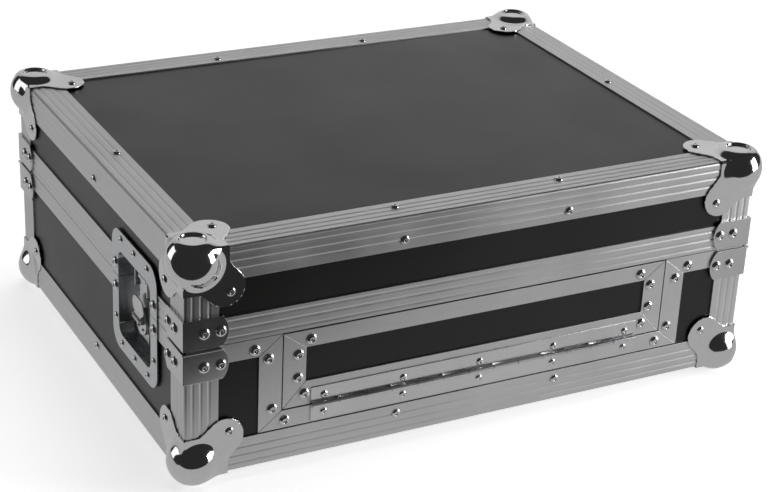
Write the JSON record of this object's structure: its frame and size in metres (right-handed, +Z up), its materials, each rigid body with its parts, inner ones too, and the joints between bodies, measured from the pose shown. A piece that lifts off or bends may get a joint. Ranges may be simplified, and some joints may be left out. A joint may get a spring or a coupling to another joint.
{
  "type": "flight case",
  "caption": "Shallow flight case for a DJ controller: laminated plywood in aluminium extrusions, hinged lid, front access flap, ball corners, recessed side latches, rear handle.",
  "frame": {"origin": "on the ground under the middle of the case, which stands on its four lower ball corners", "axes": "+X to the right and +Y to the rear as seen by someone facing the front flap, +Z up"},
  "size_m": [0.5748, 0.45, 0.2245],
  "materials": {
    "laminate": "plywood under a black laminate skin, satin, with a fine pebble grain",
    "aluminium": "anodised, fine lines along the profile",
    "bright_steel": "bright plated, polished",
    "plate_steel": "bright plated sheet, smooth",
    "pressed_steel": "zinc plated pressing, satin",
    "zinc_steel": "zinc plated, dull",
    "foam": "charcoal foam, open cells",
    "grip_rubber": "black moulded rubber on a steel bail, matt"
  },
  "bodies": {
    "base": {"base_floor_panel": "laminate", "base_left_panel": "laminate", "base_right_panel": "laminate", "base_rear_panel": "laminate", "base_front_panels": "laminate", "base_sill_panel": "laminate", "base_front_extrusion": "aluminium", "base_rear_extrusion": "aluminium", "base_left_extrusion": "aluminium", "base_right_extrusion": "aluminium", "base_corner_posts": "aluminium", "base_side_rims": "aluminium", "base_rear_rim": "aluminium", "base_front_rims": "aluminium", "opening_uprights": "aluminium", "opening_sill_strip": "aluminium", "base_front_ball_corners": "bright_steel", "base_rear_ball_corners": "bright_steel", "base_corner_braces": "plate_steel", "base_rivets": "bright_steel", "flap_hinge_fixed_leaf": "aluminium", "flap_hinge_pin": "zinc_steel", "left_latch_base_dish": "pressed_steel", "right_latch_base_dish": "pressed_steel", "lid_hinge_base_leaves": "zinc_steel", "lid_hinge_pins": "zinc_steel", "handle_dish": "pressed_steel", "base_floor_foam": "foam", "base_wall_foam": "foam"},
    "lid": {"lid_top_panel": "laminate", "lid_front_panel": "laminate", "lid_rear_panel": "laminate", "lid_side_panels": "laminate", "lid_front_extrusion": "aluminium", "lid_rear_extrusion": "aluminium", "lid_left_extrusion": "aluminium", "lid_right_extrusion": "aluminium", "lid_corner_posts": "aluminium", "lid_front_rim": "aluminium", "lid_rear_rim": "aluminium", "lid_side_rims": "aluminium", "lid_front_ball_corners": "bright_steel", "lid_rear_ball_corners": "bright_steel", "lid_corner_braces": "plate_steel", "lid_rivets": "bright_steel", "left_latch_lid_dish": "pressed_steel", "right_latch_lid_dish": "pressed_steel", "lid_hinge_lid_leaves": "zinc_steel", "lid_foam": "foam"},
    "flap": {"flap_panel": "laminate", "flap_strips": "aluminium", "flap_hinge_moving_leaf": "aluminium", "flap_rivets": "bright_steel"},
    "left_rotor": {"left_latch_rotor": "zinc_steel"},
    "left_wing": {"left_latch_wing": "zinc_steel"},
    "left_hook": {"left_latch_hook": "zinc_steel"},
    "right_rotor": {"right_latch_rotor": "zinc_steel"},
    "right_wing": {"right_latch_wing": "zinc_steel"},
    "right_hook": {"right_latch_hook": "zinc_steel"},
    "handle": {"handle_bail": "grip_rubber"}
  },
  "joints": [
    {"name": "lid_hinge", "type": "hinge", "parent": "base", "child": "lid", "pos_m": [0, 0.2177, 0.13075], "axis": [-1, 0, 0], "range_deg": [0, 105]},
    {"name": "flap_hinge", "type": "hinge", "parent": "base", "child": "flap", "pos_m": [0, -0.2164, 0.05865], "axis": [1, 0, 0], "range_deg": [0, 130]},
    {"name": "handle_hinge", "type": "hinge", "parent": "base", "child": "handle", "pos_m": [0, 0.2069, 0.0945], "axis": [1, 0, 0], "range_deg": [0, 90]},
    {"name": "left_latch_turn", "type": "hinge", "parent": "base", "child": "left_rotor", "pos_m": [-0.26755, -0.102, 0.104], "axis": [-1, 0, 0], "range_deg": [0, 180]},
    {"name": "left_latch_fold", "type": "hinge", "parent": "left_rotor", "child": "left_wing", "pos_m": [-0.2734, -0.102, 0.108], "axis": [0, -1, 0], "range_deg": [0, 90], "stiffness_Nm_per_rad": 0.004, "springref_deg": -28.65},
    {"name": "left_latch_draw", "type": "slide", "parent": "base", "child": "left_hook", "axis": [0, 0, 1], "range_m": [0, 0.0081]},
    {"name": "right_latch_turn", "type": "hinge", "parent": "base", "child": "right_rotor", "pos_m": [0.26755, -0.102, 0.104], "axis": [1, 0, 0], "range_deg": [0, 180]},
    {"name": "right_latch_fold", "type": "hinge", "parent": "right_rotor", "child": "right_wing", "pos_m": [0.2734, -0.102, 0.108], "axis": [0, 1, 0], "range_deg": [0, 90], "stiffness_Nm_per_rad": 0.004, "springref_deg": -28.65},
    {"name": "right_latch_draw", "type": "slide", "parent": "base", "child": "right_hook", "axis": [0, 0, 1], "range_m": [0, 0.0081]}
  ],
  "couplings": [
    {"joint": "left_latch_draw", "follows": "left_latch_turn", "m_per_rad": 0.0025465},
    {"joint": "right_latch_draw", "follows": "right_latch_turn", "m_per_rad": 0.0025465}
  ]
}
